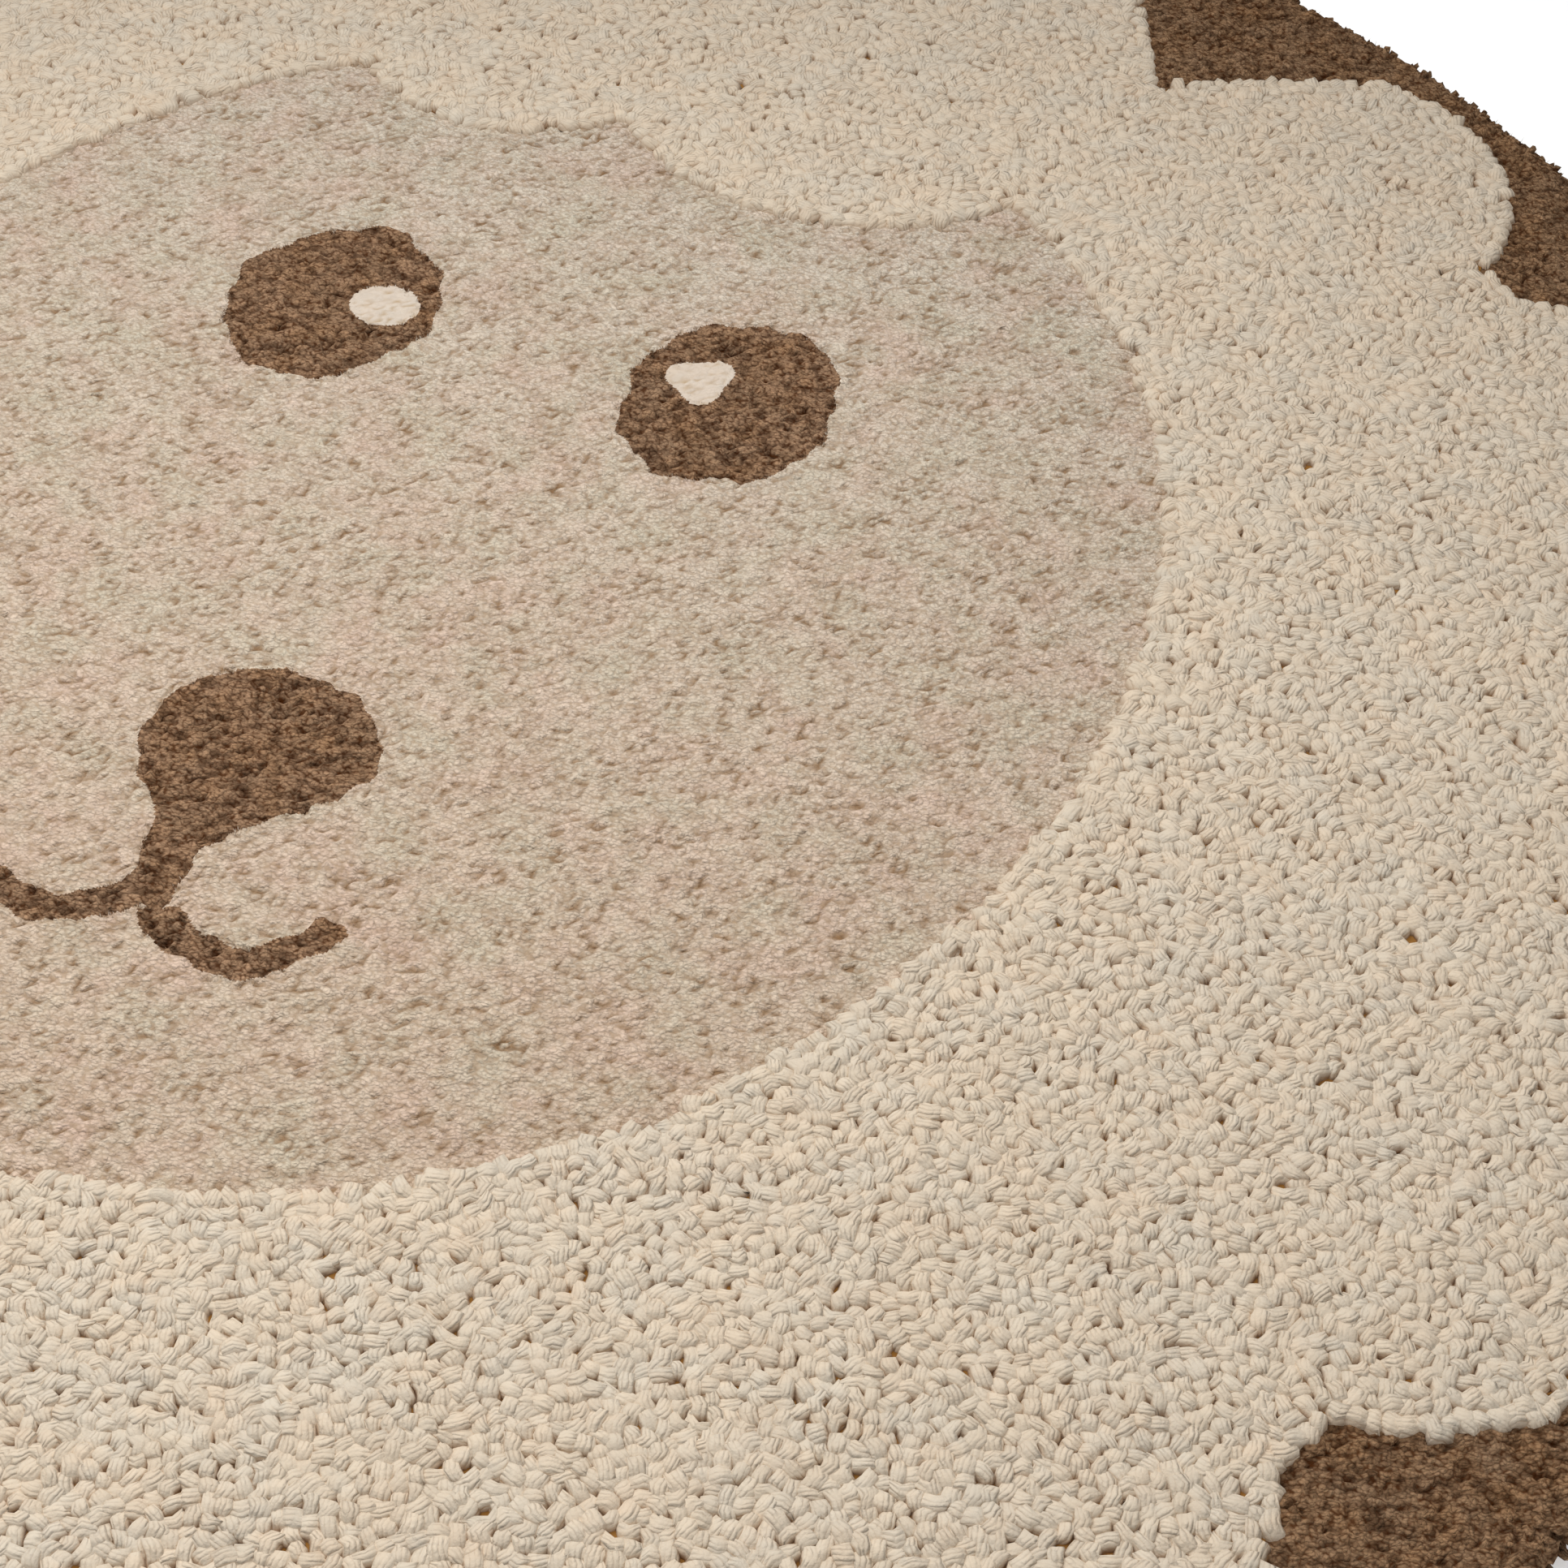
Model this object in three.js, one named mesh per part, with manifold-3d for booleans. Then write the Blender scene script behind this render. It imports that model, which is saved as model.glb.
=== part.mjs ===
// A round tufted rug with a lion's face, lying flat on the floor, in millimetres, +Z up.
// The rug is one piece: yarn tufted through one backing, with two pile heights.
// The face and the ground are cut pile, and the scalloped mane is loop pile that stands a little higher.
import * as THREE from 'three';
import { mergeVertices } from 'three/addons/utils/BufferGeometryUtils.js';
import Module from 'manifold-3d';

// Overall sizes of the rug
const RUG_RADIUS = 500;
const BACKING_HEIGHT = 2;
const CUT_PILE_HEIGHT = 12;
const LOOP_PILE_HEIGHT = 14.5;

// The pile leans out past the backing at the rim, and its top edge is rounded
const BACKING_MARGIN = 7;
const RIM_ROUNDING = 8;
const RIM_MIDDLE_HEIGHT = 6.5;
const RIM_LOWER_ANGLE = THREE.MathUtils.degToRad(-48);

// The mane: a ring of round lobes, with a notch between two lobes at the top of the head
const LOBE_COUNT = 15;
const LOBE_CENTRE_RADIUS = 400;
const LOBE_RADIUS = 87;

// The notches end blunt at one radius, but for one on each side of the top notch, which are square Vs
const NOTCH_RADIUS = 440;
const DEEP_NOTCHES = [1, 14];
const DEEP_NOTCH_TIP_RADIUS = 412;

// The face: an upright ellipse, set a little above the middle of the rug
const FACE_CENTRE_Y = 30;
const FACE_HALF_WIDTH = 257;
const FACE_HALF_HEIGHT = 293;

// The hairline: two scallops of the mane that hang into the top of the face, and the point between them
const HAIRLINE_Y = 276;
const HAIRLINE_POINT_X = -24;
const LEFT_SCALLOP_DIP = 26;
const RIGHT_SCALLOP_DIP = 38;

// The loops round over at the edges of the mane: each layer is drawn in further and stands higher
const MANE_LAYERS = [
  { inset: 0, top: 13.4 },
  { inset: 2.5, top: LOOP_PILE_HEIGHT },
];

// How finely the round shapes are divided
const RIM_STEPS = 120;
const RIM_PROFILE_STEPS = 5;
const LOBE_STEPS = 9;
const FACE_STEPS = 56;
const SCALLOP_STEPS = 8;

const CREAM_YARN = 0xd3c3ae;

const wasm = await Module();
wasm.setup();

// Closed geometry to a solid that can be joined
function toSolid(geometry) {
  geometry.deleteAttribute('normal');
  geometry.deleteAttribute('uv');
  const merged = mergeVertices(geometry, 1e-4);
  const vertProperties = new Float32Array(merged.attributes.position.array);
  const triVerts = new Uint32Array(merged.index.array);
  return new wasm.Manifold(new wasm.Mesh({ numProp: 3, vertProperties, triVerts }));
}

// A joined solid back to geometry
function toGeometry(solid) {
  const mesh = solid.getMesh();
  const geometry = new THREE.BufferGeometry();
  geometry.setAttribute('position', new THREE.BufferAttribute(mesh.vertProperties, 3));
  geometry.setIndex(new THREE.BufferAttribute(mesh.triVerts, 1));
  geometry.computeVertexNormals();
  return geometry;
}

// The round slab of backing and cut pile, turned from its half section
function slabGeometry() {
  const backingRadius = RUG_RADIUS - BACKING_MARGIN;
  const rim = new THREE.EllipseCurve(
    RUG_RADIUS - RIM_ROUNDING, RIM_MIDDLE_HEIGHT,
    RIM_ROUNDING, CUT_PILE_HEIGHT - RIM_MIDDLE_HEIGHT,
    RIM_LOWER_ANGLE, Math.PI / 2,
  );
  const halfSection = [
    new THREE.Vector2(0, 0),
    new THREE.Vector2(backingRadius, 0),
    new THREE.Vector2(backingRadius, BACKING_HEIGHT),
    ...rim.getPoints(RIM_PROFILE_STEPS),
    new THREE.Vector2(0, CUT_PILE_HEIGHT),
  ];
  return new THREE.LatheGeometry(halfSection, RIM_STEPS).rotateX(Math.PI / 2);
}

// How far out from the rug's middle the tip of a deep notch lies: its walls stand square to each other
function deepNotchTip(inset) {
  return DEEP_NOTCH_TIP_RADIUS - inset * Math.SQRT2;
}

// How far out from the rug's middle a lobe's arc meets the notch beside it
function notchReach(notch, inset) {
  if (!DEEP_NOTCHES.includes(notch % LOBE_COUNT)) {
    return NOTCH_RADIUS - inset;
  }
  const halfPitch = Math.PI / LOBE_COUNT;
  const tip = deepNotchTip(inset);
  const lobeAside = LOBE_CENTRE_RADIUS * Math.sin(halfPitch);
  const tipRise = tip - LOBE_CENTRE_RADIUS * Math.cos(halfPitch);
  const chordShare = (LOBE_RADIUS - inset) ** 2 / 2 - ((lobeAside + tipRise) / 2) ** 2;
  const alongWall = (lobeAside - tipRise) / 2 + Math.sqrt(chordShare);
  return Math.hypot(alongWall, tip + alongWall);
}

// How far a lobe's arc sweeps from its tip before it meets a notch
function sweepToNotch(notch, inset) {
  const reach = notchReach(notch, inset);
  const radius = LOBE_RADIUS - inset;
  const along = (LOBE_CENTRE_RADIUS ** 2 + reach ** 2 - radius ** 2) / (2 * LOBE_CENTRE_RADIUS);
  const aside = Math.sqrt(reach ** 2 - along ** 2);
  return Math.atan2(aside, along - LOBE_CENTRE_RADIUS);
}

// Outline of the mane's lobes, drawn in by an inset
function lobeOutline(inset) {
  const pitch = (2 * Math.PI) / LOBE_COUNT;
  const radius = LOBE_RADIUS - inset;
  const points = [];
  for (let lobe = 0; lobe < LOBE_COUNT; lobe += 1) {
    const angle = Math.PI / 2 + (lobe + 0.5) * pitch;
    const nextNotch = lobe + 1;
    const arc = new THREE.EllipseCurve(
      LOBE_CENTRE_RADIUS * Math.cos(angle), LOBE_CENTRE_RADIUS * Math.sin(angle), radius, radius,
      angle - sweepToNotch(lobe, inset), angle + sweepToNotch(nextNotch, inset),
    );
    points.push(...arc.getPoints(LOBE_STEPS));
    if (DEEP_NOTCHES.includes(nextNotch % LOBE_COUNT)) {
      const tip = deepNotchTip(inset);
      const notchAngle = angle + pitch / 2;
      points.push(new THREE.Vector2(tip * Math.cos(notchAngle), tip * Math.sin(notchAngle)));
    }
  }
  return points;
}

// One scallop of the hairline, an arc that hangs between two points at the hairline's height
function scallopPoints(startX, endX, height, dip) {
  const halfChord = Math.abs(endX - startX) / 2;
  const radius = (halfChord ** 2 + dip ** 2) / (2 * dip);
  const sweep = Math.asin(halfChord / radius);
  const down = -Math.PI / 2;
  const side = Math.sign(endX - startX);
  const arc = new THREE.EllipseCurve(
    (startX + endX) / 2, height - dip + radius,
    radius, radius, down - side * sweep, down + side * sweep, side < 0,
  );
  return arc.getPoints(SCALLOP_STEPS).slice(0, -1);
}

// Outline of the face, widened by an outset
function faceOutline(outset) {
  const halfWidth = FACE_HALF_WIDTH + outset;
  const halfHeight = FACE_HALF_HEIGHT + outset;
  const hairlineY = HAIRLINE_Y + outset;
  const cornerAngle = Math.asin((hairlineY - FACE_CENTRE_Y) / halfHeight);
  const cornerX = halfWidth * Math.cos(cornerAngle);
  const cheeks = new THREE.EllipseCurve(
    0, FACE_CENTRE_Y, halfWidth, halfHeight,
    Math.PI - cornerAngle, 2 * Math.PI + cornerAngle,
  );
  return [
    ...cheeks.getPoints(FACE_STEPS).slice(0, -1),
    ...scallopPoints(cornerX, HAIRLINE_POINT_X, hairlineY, RIGHT_SCALLOP_DIP),
    ...scallopPoints(HAIRLINE_POINT_X, -cornerX, hairlineY, LEFT_SCALLOP_DIP),
  ];
}

// One layer of the mane, from the middle of the slab up to the layer's top
function maneLayerGeometry({ inset, top }) {
  const shape = new THREE.Shape(lobeOutline(inset));
  shape.holes.push(new THREE.Path(faceOutline(inset)));
  const depth = top - RIM_MIDDLE_HEIGHT;
  return new THREE.ExtrudeGeometry(shape, { depth, bevelEnabled: false })
    .translate(0, 0, RIM_MIDDLE_HEIGHT);
}

// The whole rug: the slab joined with the mane's layers
function rugMesh() {
  let solid = toSolid(slabGeometry());
  for (const layer of MANE_LAYERS) {
    solid = solid.add(toSolid(maneLayerGeometry(layer)));
  }
  const yarn = new THREE.MeshStandardMaterial({ color: CREAM_YARN, roughness: 0.95, metalness: 0 });
  const mesh = new THREE.Mesh(toGeometry(solid), yarn);
  mesh.name = 'rug';
  return mesh;
}

const rug = new THREE.Group();
rug.add(rugMesh());

export default rug;
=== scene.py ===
import math

import bpy
import numpy as np
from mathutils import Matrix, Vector
from mathutils.kdtree import KDTree


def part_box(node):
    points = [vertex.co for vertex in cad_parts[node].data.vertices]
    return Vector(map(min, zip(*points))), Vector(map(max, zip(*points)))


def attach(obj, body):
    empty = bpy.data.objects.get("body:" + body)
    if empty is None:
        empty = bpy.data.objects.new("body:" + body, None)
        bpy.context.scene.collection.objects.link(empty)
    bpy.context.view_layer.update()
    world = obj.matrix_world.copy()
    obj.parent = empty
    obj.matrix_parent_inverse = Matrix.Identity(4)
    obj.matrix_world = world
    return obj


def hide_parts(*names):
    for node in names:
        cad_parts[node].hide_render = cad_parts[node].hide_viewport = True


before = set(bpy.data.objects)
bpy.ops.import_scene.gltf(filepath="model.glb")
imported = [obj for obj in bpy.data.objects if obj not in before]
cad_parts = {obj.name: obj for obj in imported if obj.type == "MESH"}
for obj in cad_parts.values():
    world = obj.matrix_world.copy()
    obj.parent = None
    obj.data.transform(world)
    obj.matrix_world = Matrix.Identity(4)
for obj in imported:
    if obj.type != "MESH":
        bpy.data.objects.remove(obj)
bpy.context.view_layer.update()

MM = 0.001
FULL_TURN = 2 * math.pi
QUARTER_TURN = math.pi / 2

# Reach and heights of the rug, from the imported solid
RUG_LOW, RUG_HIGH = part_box("rug")
RUG_RADIUS = (RUG_HIGH.x - RUG_LOW.x) / 2
LOOP_TOP = RUG_HIGH.z
LOOPS_OVER_CUT_PILE = 2.5 * MM
CUT_TOP = LOOP_TOP - LOOPS_OVER_CUT_PILE
GROUND_TOP = 8.5 * MM
BACKING_MARGIN = 7 * MM
BACKING_RADIUS = RUG_RADIUS - BACKING_MARGIN
BACKING_HEIGHT = 2 * MM

# The mane: a ring of round lobes, with a notch between two lobes at the top of the head
LOBE_COUNT = 15
LOBE_PITCH = FULL_TURN / LOBE_COUNT
LOBE_CENTRE_RADIUS = 400 * MM
LOBE_RADIUS = 87 * MM
# The notches end blunt at one radius, but for one on each side of the top notch, which are square Vs
NOTCH_RADIUS = 440 * MM
DEEP_NOTCHES = (1, 14)
DEEP_NOTCH_TIP_RADIUS = 412 * MM

# The face: an upright ellipse whose top is cut off by two scallops of the mane
FACE_Y = 30 * MM
FACE_HALF_WIDTH = 257 * MM
FACE_HALF_HEIGHT = 293 * MM
HAIRLINE_Y = 276 * MM
HAIRLINE_POINT_X = -24 * MM
LEFT_SCALLOP_DIP = 26 * MM
RIGHT_SCALLOP_DIP = 38 * MM

# Eyes: middle across and up, half width, half height, turn of the lumps on the edge
EYES = (
    (-80.4 * MM, 129 * MM, 39.8 * MM, 45.5 * MM, 0.4),
    (80.0 * MM, 127 * MM, 39 * MM, 45.5 * MM, 2.2),
)
# Their lumps: depth as a share of the half size, how many broad and small ones, and how the small ones differ
EYE_LUMP = 0.03
BROAD_LUMPS = 4
SMALL_LUMPS = 9
SMALL_LUMP_SHARE = 0.5
SMALL_LUMP_TURN = 2.3
# Glints on the eyes' inner sides: middle across and up, half width, half height, how cornered, turn
GLINTS = (
    (-61 * MM, 133 * MM, 13.5 * MM, 12 * MM, 0.0, 0.0),
    (65.8 * MM, 134 * MM, 11.8 * MM, 11.8 * MM, 0.17, 0.42),
)
GLINT_CORNERS = 3

# Nose and stem, from the bottom up: height on the rug, half width there and shift from the middle
NOSE_PROFILE = (
    (-162 * MM, 8.5 * MM, -1.5 * MM),
    (-138 * MM, 8.5 * MM, -2.0 * MM),
    (-124 * MM, 14 * MM, -2.0 * MM),
    (-112 * MM, 28 * MM, -0.5 * MM),
    (-100 * MM, 36 * MM, 1.5 * MM),
    (-86 * MM, 40.5 * MM, 2.5 * MM),
    (-74 * MM, 37 * MM, 2.8 * MM),
    (-64 * MM, 28 * MM, 3.0 * MM),
    (-58 * MM, 19 * MM, 2.0 * MM),
    (-53 * MM, 0, 2.0 * MM),
)

# Mouth: two arcs that hang from the foot of the stem, each with its middle across and up and its radius
MOUTH_ARCS = (
    (30 * MM, -143 * MM, 30 * MM),
    (-34 * MM, -133 * MM, 40 * MM),
)
MOUTH_HALF_STROKE = 6 * MM
MOUTH_INNER_ANGLE = math.radians(-144)
MOUTH_OUTER_ANGLE = math.radians(-21)

# Small shifts that a hand-held tufting tool leaves along a drawn edge: a slow wave and a quick one
SLOW_WAVER_LENGTH = 34 * MM
SLOW_WAVER = 1.1 * MM
QUICK_WAVER_LENGTH = 15 * MM
QUICK_WAVER = 0.8 * MM
# For the shifts across and up: where the slow wave starts, how the quick one slants and where it starts
WAVER_ACROSS = (1.3, 0.6, 0.0)
WAVER_UP = (0.4, -0.5, 2.0)

# Zones of cut pile
NO_TUFT, BEIGE, BROWN, WHITE = range(4)
# How far the cut pile runs on under the loops, and how much lower it lies there
UNDER_LOOPS = 8 * MM
UNDER_LOOPS_DROP = 0.6 * MM


# Shapes drawn on the rug, as tests on arrays of points

def from_middle(x, y, centre_x, centre_y, half_width, half_height):
    """Places across and up from an oval's middle, as shares of its half sizes."""
    return (x - centre_x) / half_width, (y - centre_y) / half_height


def in_ellipse(x, y, *oval):
    return np.hypot(*from_middle(x, y, *oval)) < 1


def lumpy_ellipse(x, y, *oval, turn):
    """Inside an ellipse whose edge bulges in and out, as clumps of yarn make it."""
    across, up = from_middle(x, y, *oval)
    angle = np.arctan2(up, across)
    broad = EYE_LUMP * np.cos(BROAD_LUMPS * angle + turn)
    small = SMALL_LUMP_SHARE * EYE_LUMP * np.sin(SMALL_LUMPS * angle + SMALL_LUMP_TURN * turn)
    return np.hypot(across, up) < 1 + broad + small


def three_cornered(x, y, *oval, corner, turn):
    """Inside a round shape with two soft corners at the top and one at the bottom."""
    across, up = from_middle(x, y, *oval)
    angle = np.arctan2(up, across)
    return np.hypot(across, up) < 1 + corner * np.sin(GLINT_CORNERS * (angle - turn))


def scallop_circle(start_x, end_x, dip):
    """Centre and radius of the arc that hangs by dip between two points on the hairline."""
    half_chord = (end_x - start_x) / 2
    radius = (half_chord ** 2 + dip ** 2) / (2 * dip)
    return (start_x + end_x) / 2, HAIRLINE_Y - dip + radius, radius


def hairline_circles():
    corner_share = (HAIRLINE_Y - FACE_Y) / FACE_HALF_HEIGHT
    corner_x = FACE_HALF_WIDTH * math.sqrt(1 - corner_share ** 2)
    left = scallop_circle(-corner_x, HAIRLINE_POINT_X, LEFT_SCALLOP_DIP)
    right = scallop_circle(HAIRLINE_POINT_X, corner_x, RIGHT_SCALLOP_DIP)
    return left, right


def in_face(x, y, outset=0):
    inside = in_ellipse(x, y, 0, FACE_Y, FACE_HALF_WIDTH + outset, FACE_HALF_HEIGHT + outset)
    for centre_x, centre_y, radius in hairline_circles():
        inside &= np.hypot(x - centre_x, y - centre_y) > radius - outset
    return inside


def in_lobes(x, y, inset=0):
    turn = np.arctan2(y, x) - QUARTER_TURN
    nearest = (np.floor(turn / LOBE_PITCH) + 0.5) * LOBE_PITCH + QUARTER_TURN
    lobe_x = LOBE_CENTRE_RADIUS * np.cos(nearest)
    lobe_y = LOBE_CENTRE_RADIUS * np.sin(nearest)
    in_lobe = np.hypot(x - lobe_x, y - lobe_y) < LOBE_RADIUS - inset
    reach = np.hypot(x, y)
    in_blunt = in_lobe | (reach < NOTCH_RADIUS - inset)
    notch = np.round(turn / LOBE_PITCH)
    from_notch = turn - notch * LOBE_PITCH
    above_walls = reach * (np.cos(from_notch) - np.abs(np.sin(from_notch)))
    under_notch = above_walls < DEEP_NOTCH_TIP_RADIUS - inset * math.sqrt(2)
    in_deep = under_notch & (in_lobe | (reach < LOBE_CENTRE_RADIUS))
    return np.where(np.isin(notch % LOBE_COUNT, DEEP_NOTCHES), in_deep, in_blunt)


def in_mane(x, y):
    return in_lobes(x, y) & ~in_face(x, y)


def in_nose(x, y):
    heights, half_widths, shifts = zip(*NOSE_PROFILE)
    half_width = np.interp(y, heights, half_widths, left=0, right=0)
    return np.abs(x - np.interp(y, heights, shifts)) < half_width


def in_mouth(x, y):
    inside = np.zeros(x.shape, dtype=bool)
    for centre_x, centre_y, radius in MOUTH_ARCS:
        outward = np.sign(centre_x)
        side = outward * (x - centre_x)
        rise = y - centre_y
        angle = np.arctan2(rise, side)
        on_arc = np.abs(np.hypot(side, rise) - radius) < MOUTH_HALF_STROKE
        inside |= on_arc & (angle > MOUTH_INNER_ANGLE) & (angle < MOUTH_OUTER_ANGLE)
        end_side = radius * math.cos(MOUTH_OUTER_ANGLE)
        end_rise = radius * math.sin(MOUTH_OUTER_ANGLE)
        inside |= np.hypot(side - end_side, rise - end_rise) < MOUTH_HALF_STROKE
    return inside


def waver(along, aside, slow_start, slant, quick_start):
    """How far a drawn edge is shifted at each place along it."""
    slow = FULL_TURN / SLOW_WAVER_LENGTH
    quick = FULL_TURN / QUICK_WAVER_LENGTH
    slow_shift = SLOW_WAVER * np.sin(slow * along + slow_start)
    return slow_shift + QUICK_WAVER * np.sin(quick * (along + slant * aside) + quick_start)


def cut_pile_zone(x, y):
    """Which yarn the cut pile has at each point, or none well inside the mane."""
    face = in_face(x, y, UNDER_LOOPS)
    zone = np.where(face, BEIGE, BROWN)
    zone[in_lobes(x, y, UNDER_LOOPS) & ~face] = NO_TUFT
    drawn_x = x + waver(y, x, *WAVER_ACROSS)
    drawn_y = y + waver(x, y, *WAVER_UP)
    drawn = in_nose(drawn_x, drawn_y) | in_mouth(drawn_x, drawn_y)
    for *oval, turn in EYES:
        drawn |= lumpy_ellipse(drawn_x, drawn_y, *oval, turn=turn)
    zone[drawn] = BROWN
    for *oval, corner, turn in GLINTS:
        zone[three_cornered(x, y, *oval, corner=corner, turn=turn)] = WHITE
    return zone


# Places of the loops

# Loop pile: plump loops of a few strands side by side, packed so close that their sides are pressed together
LOOP_PITCH = 5.15 * MM
LOOP_SHIFT = 0.45 * LOOP_PITCH
LOOP_STRAY = 0.15 * MM
# How loops settle: rounds, their push on each other, the least gap that it counts with
LOOP_SETTLE_ROUNDS = 12
LOOP_PUSH = 0.22
LEAST_GAP = 0.1 * MM
# The two rows of loops along the edges of the mane, and how strongly loops are drawn into them
LOOP_EDGE_ROW = 3.0 * MM
SECOND_EDGE_ROW = LOOP_EDGE_ROW + 0.9 * LOOP_PITCH
EDGE_ROWS_REACH = 1.7 * LOOP_PITCH
EDGE_PULL = 0.3
# Steps along the edges of the mane, and factors that move a point a hair's breadth in or out
EDGE_STEP = 1.5 * MM
BARELY_INSIDE = 1 - 1e-4
JUST_INSIDE = 1 - 1e-3
JUST_OUTSIDE = 1 + 1e-3


def staggered_points(pitch, shift, reach, rng):
    """Staggered rows of points over a disc, each shifted a little at random."""
    row_pitch = pitch * math.sqrt(3) / 2
    count = int(reach / row_pitch) + 1
    rows, steps = np.mgrid[-count:count + 1, -count:count + 1]
    x = (steps + 0.5 * (rows % 2)) * pitch
    y = rows * row_pitch
    points = np.stack([x.ravel(), y.ravel()], axis=1)
    points += rng.uniform(-shift, shift, points.shape)
    return points[np.hypot(points[:, 0], points[:, 1]) < reach]


def tree_of(points):
    tree = KDTree(len(points))
    for index, (x, y) in enumerate(points):
        tree.insert((x, y, 0), index)
    tree.balance()
    return tree


def circle_points(centre_x, centre_y, half_width, half_height):
    """Points close together along an upright ellipse."""
    turns = np.linspace(0, FULL_TURN, int(FULL_TURN * half_height / EDGE_STEP))
    return centre_x + half_width * np.cos(turns), centre_y + half_height * np.sin(turns)


def kept_points(x, y, kept):
    return np.stack([x[kept], y[kept]], axis=1)


def outer_edges():
    """Points along the lobes and the notches between them."""
    edges = []
    for lobe in range(LOBE_COUNT):
        angle = QUARTER_TURN + (lobe + 0.5) * LOBE_PITCH
        centre = (LOBE_CENTRE_RADIUS * math.cos(angle), LOBE_CENTRE_RADIUS * math.sin(angle))
        x, y = circle_points(*centre, LOBE_RADIUS, LOBE_RADIUS)
        covered = in_lobes(x * BARELY_INSIDE, y * BARELY_INSIDE)
        covered &= in_lobes(x * JUST_OUTSIDE, y * JUST_OUTSIDE)
        edges.append(kept_points(x, y, ~covered))
    x, y = circle_points(0, 0, NOTCH_RADIUS, NOTCH_RADIUS)
    blunt = in_lobes(x * JUST_INSIDE, y * JUST_INSIDE) & ~in_lobes(x * JUST_OUTSIDE, y * JUST_OUTSIDE)
    edges.append(kept_points(x, y, blunt))
    across = np.arange(-LOBE_RADIUS, LOBE_RADIUS, EDGE_STEP)
    out = DEEP_NOTCH_TIP_RADIUS + np.abs(across)
    for notch in DEEP_NOTCHES:
        angle = QUARTER_TURN + notch * LOBE_PITCH
        x = out * math.cos(angle) - across * math.sin(angle)
        y = out * math.sin(angle) + across * math.cos(angle)
        edges.append(kept_points(x, y, in_lobes(x * JUST_INSIDE, y * JUST_INSIDE)))
    return edges


def face_edges():
    """Points along the cheeks and the hairline."""
    x, y = circle_points(0, FACE_Y, FACE_HALF_WIDTH, FACE_HALF_HEIGHT)
    edges = [kept_points(x, y, y < HAIRLINE_Y)]
    turns = np.linspace(0, FULL_TURN, int(FULL_TURN * FACE_HALF_HEIGHT / EDGE_STEP))
    for centre_x, centre_y, radius in hairline_circles():
        x = centre_x + radius * np.cos(turns)
        y = centre_y + radius * np.sin(turns)
        in_oval = in_ellipse(x, y, 0, FACE_Y, FACE_HALF_WIDTH, FACE_HALF_HEIGHT)
        edges.append(kept_points(x, y, in_oval & (y < HAIRLINE_Y)))
    return edges


def settle_loops(points, edge_tree, rng):
    """Pushes crowded loops apart, lines the outer ones up along the mane's edges, then lets them stray."""
    for _ in range(LOOP_SETTLE_ROUNDS):
        tree = tree_of(points)
        moved = points.copy()
        for index, (x, y) in enumerate(points):
            for near, other, gap in tree.find_range((x, y, 0), LOOP_PITCH):
                if other != index:
                    push = LOOP_PUSH * (LOOP_PITCH - gap) / max(gap, LEAST_GAP)
                    moved[index, 0] += push * (x - near.x)
                    moved[index, 1] += push * (y - near.y)
            edge, _, gap = edge_tree.find((x, y, 0))
            if gap < EDGE_ROWS_REACH:
                row = LOOP_EDGE_ROW if gap < LOOP_PITCH else SECOND_EDGE_ROW
                pull = EDGE_PULL * (row - gap) / max(gap, LEAST_GAP)
                moved[index, 0] += pull * (x - edge.x)
                moved[index, 1] += pull * (y - edge.y)
        points = moved
    points = points + rng.normal(0, LOOP_STRAY, points.shape)
    return points[in_mane(points[:, 0], points[:, 1])]


def edge_run(points, edge_tree):
    """For each loop, how far the nearest edge of the mane is and which way that edge runs."""
    gaps, headings = [], []
    for x, y in points:
        edge, _, gap = edge_tree.find((x, y, 0))
        gaps.append(gap)
        headings.append(math.atan2(y - edge.y, x - edge.x) + QUARTER_TURN)
    return np.array(gaps), np.array(headings)


# Waves that make up a slow drift over the rug: direction across and up, pace, share of the phase
DRIFT_WAVES = (
    (0.8, 0.6, 1.0, 1.0),
    (0.5, -0.86, 1.37, 2.1),
    (0.97, 0.26, 0.71, -1.4),
)


def slow_field(x, y, wavelength, phase):
    """A smooth value from -1 to 1 that drifts over the rug."""
    k = FULL_TURN / wavelength
    waves = []
    for across, up, pace, share in DRIFT_WAVES:
        waves.append(np.sin(k * pace * (across * x + up * y) + share * phase))
    return sum(waves) / len(DRIFT_WAVES)


# Meshes from arrays

def new_object(name, data):
    """A new object in the scene."""
    piece = bpy.data.objects.new(name, data)
    bpy.context.scene.collection.objects.link(piece)
    return piece


def mesh_piece(name, points, faces, values, material):
    """One smooth mesh from vertex and face arrays, with a named value at each vertex."""
    mesh = bpy.data.meshes.new(name)
    mesh.vertices.add(len(points))
    mesh.vertices.foreach_set("co", points.astype(np.float32).ravel())
    mesh.loops.add(faces.size)
    mesh.loops.foreach_set("vertex_index", faces.astype(np.int32).ravel())
    mesh.polygons.add(len(faces))
    mesh.polygons.foreach_set("loop_start", np.arange(0, faces.size, faces.shape[1], dtype=np.int32))
    mesh.polygons.foreach_set("use_smooth", np.ones(len(faces), dtype=bool))
    mesh.update(calc_edges=True)
    for key, column in values.items():
        layer = mesh.attributes.new(key, "FLOAT", "POINT")
        layer.data.foreach_set("value", column.astype(np.float32).ravel())
    mesh.materials.append(material)
    return new_object(name, mesh)


def repeat_faces(pattern, vertex_count, copies):
    """The faces of one loop or tuft, repeated for each copy."""
    offsets = np.arange(copies) * vertex_count
    return (pattern[None] + offsets[:, None, None]).reshape(-1, pattern.shape[1])


def directions(turns):
    """The way out from the middle at each turn."""
    return np.stack([np.cos(turns), np.sin(turns)], axis=1)


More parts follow.
